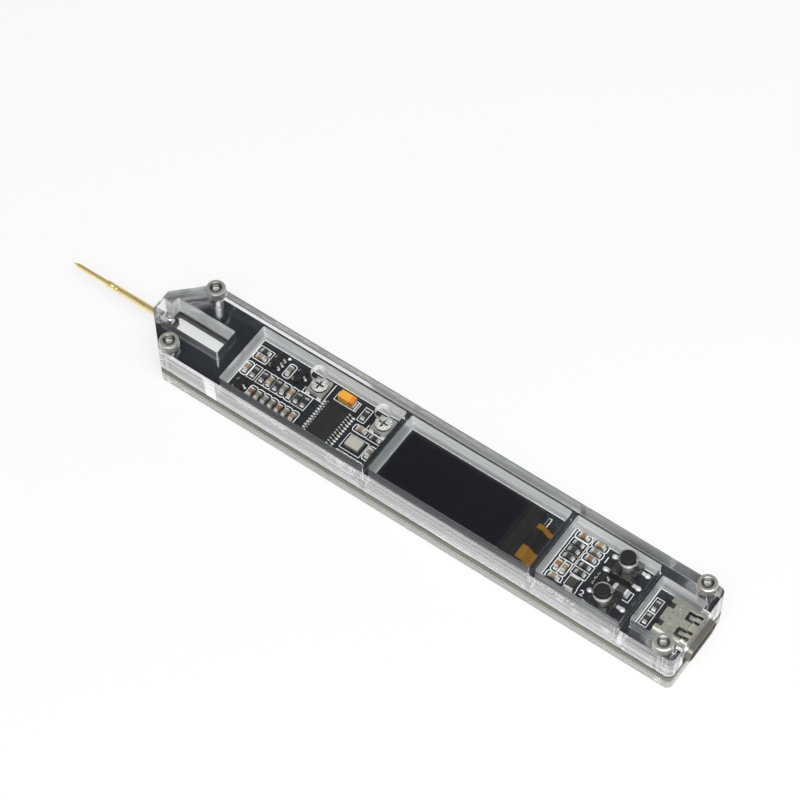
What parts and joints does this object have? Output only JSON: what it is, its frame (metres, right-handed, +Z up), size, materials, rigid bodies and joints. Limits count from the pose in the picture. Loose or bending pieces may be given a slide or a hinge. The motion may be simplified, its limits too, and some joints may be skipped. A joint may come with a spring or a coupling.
{
  "type": "pen_style_component_tester",
  "caption": "Pen-shaped bench tester: circuit board with a small display and push keys screwed between clear plates, a spring probe at the nose and a USB-C socket at the far end",
  "frame": {"origin": "middle of the clear bottom plate's underside, half way between nose face and socket end", "axes": "+X from the probe at the nose to the socket end, +Y to the side with the trimmers, +Z up through the board to the display"},
  "size_m": [0.1384, 0.0178, 0.0121],
  "materials": {
    "clear_acrylic": "clear cast sheet, polished faces, milled walls",
    "board_mask": "black solder mask on a glass-fibre board",
    "board_ink": "white printed outlines on the board",
    "screw_steel": "bright knurled steel",
    "probe_gold": "gold plated tube",
    "plunger_gold": "polished gold plate",
    "spring_steel": "spring steel",
    "solder": "bright solder",
    "socket_steel": "stamped stainless sheet",
    "socket_insert": "moulded black",
    "contact_gold": "gold plated strip",
    "display_foam": "black foam pad",
    "display_glass": "dark panel glass",
    "display_face": "dark polariser film",
    "silicon": "bare silicon",
    "black_tape": "matt black tape",
    "amber_flex": "amber film over copper",
    "chip_moulding": "moulded black",
    "tinned_leads": "tin plated",
    "oscillator_ceramic": "dark ceramic",
    "oscillator_lid": "seam-welded lid",
    "tantalum_yellow": "moulded yellow",
    "capacitor_tan": "fired tan",
    "capacitor_grey": "fired grey",
    "capacitor_brown": "fired brown",
    "resistor_black": "glazed black",
    "fuse_body": "dark green laminate",
    "trimmer_ceramic": "pale ceramic",
    "trimmer_metal": "nickel plated",
    "key_base": "moulded black",
    "key_cover": "stamped sheet",
    "key_cap": "moulded black"
  },
  "bodies": {
    "case": {"top_cover": "clear_acrylic", "circuit_board": "board_mask", "bottom_plate": "clear_acrylic", "case_screws": "screw_steel", "probe_barrel": "probe_gold", "probe_spring": "spring_steel", "probe_solder": "solder", "usb_shell": "socket_steel", "usb_insert": "socket_insert", "usb_contacts": "contact_gold", "display_foam": "display_foam", "display_rear_glass": "display_glass", "display_cap_glass": "display_glass", "display_polariser": "display_face", "display_driver": "silicon", "display_tape": "black_tape", "display_flex": "amber_flex", "display_flex_film": "black_tape", "controller_body": "chip_moulding", "controller_leads": "tinned_leads", "transistor_bodies": "chip_moulding", "transistor_leads": "tinned_leads", "oscillator_base": "oscillator_ceramic", "oscillator_lid": "oscillator_lid", "tantalum_body": "tantalum_yellow", "tantalum_terminals": "tinned_leads", "capacitors_tan": "capacitor_tan", "capacitors_grey": "capacitor_grey", "capacitors_brown": "capacitor_brown", "capacitor_end_caps": "tinned_leads", "resistors": "resistor_black", "resistor_end_caps": "tinned_leads", "diode_body": "chip_moulding", "diode_end_caps": "tinned_leads", "fuse_body": "fuse_body", "fuse_end_caps": "tinned_leads", "trimmer_1_base": "trimmer_ceramic", "trimmer_1_terminals": "tinned_leads", "trimmer_2_base": "trimmer_ceramic", "trimmer_2_terminals": "tinned_leads", "key_1_base": "key_base", "key_1_cover": "key_cover", "key_1_dome": "spring_steel", "key_1_terminals": "tinned_leads", "key_2_base": "key_base", "key_2_cover": "key_cover", "key_2_dome": "spring_steel", "key_2_terminals": "tinned_leads"},
    "key_1": {"key_1_plunger": "key_cap"},
    "key_2": {"key_2_plunger": "key_cap"},
    "probe_tip": {"probe_plunger": "plunger_gold"},
    "trimmer_1": {"trimmer_1_rotor": "trimmer_metal"},
    "trimmer_2": {"trimmer_2_rotor": "trimmer_metal"}
  },
  "joints": [
    {"name": "key_1_press", "type": "slide", "parent": "case", "child": "key_1", "axis": [0, 0, -1], "range_m": [0, 0.00025], "stiffness_N_per_m": 2000, "springref_m": -0.0004, "deforming": ["key_1_dome"]},
    {"name": "key_2_press", "type": "slide", "parent": "case", "child": "key_2", "axis": [0, 0, -1], "range_m": [0, 0.00025], "stiffness_N_per_m": 2000, "springref_m": -0.0004, "deforming": ["key_2_dome"]},
    {"name": "probe_plunge", "type": "slide", "parent": "case", "child": "probe_tip", "axis": [1, 0, 0], "range_m": [0, 0.004], "stiffness_N_per_m": 300, "springref_m": -0.0015, "deforming": ["probe_spring"]},
    {"name": "trimmer_1_turn", "type": "hinge", "parent": "case", "child": "trimmer_1", "pos_m": [-0.0254, 0.00405, 0.0051], "axis": [0, 0, 1], "range_deg": [-130, 130]},
    {"name": "trimmer_2_turn", "type": "hinge", "parent": "case", "child": "trimmer_2", "pos_m": [-0.0112, 0.00405, 0.0051], "axis": [0, 0, 1], "range_deg": [-130, 130]}
  ]
}
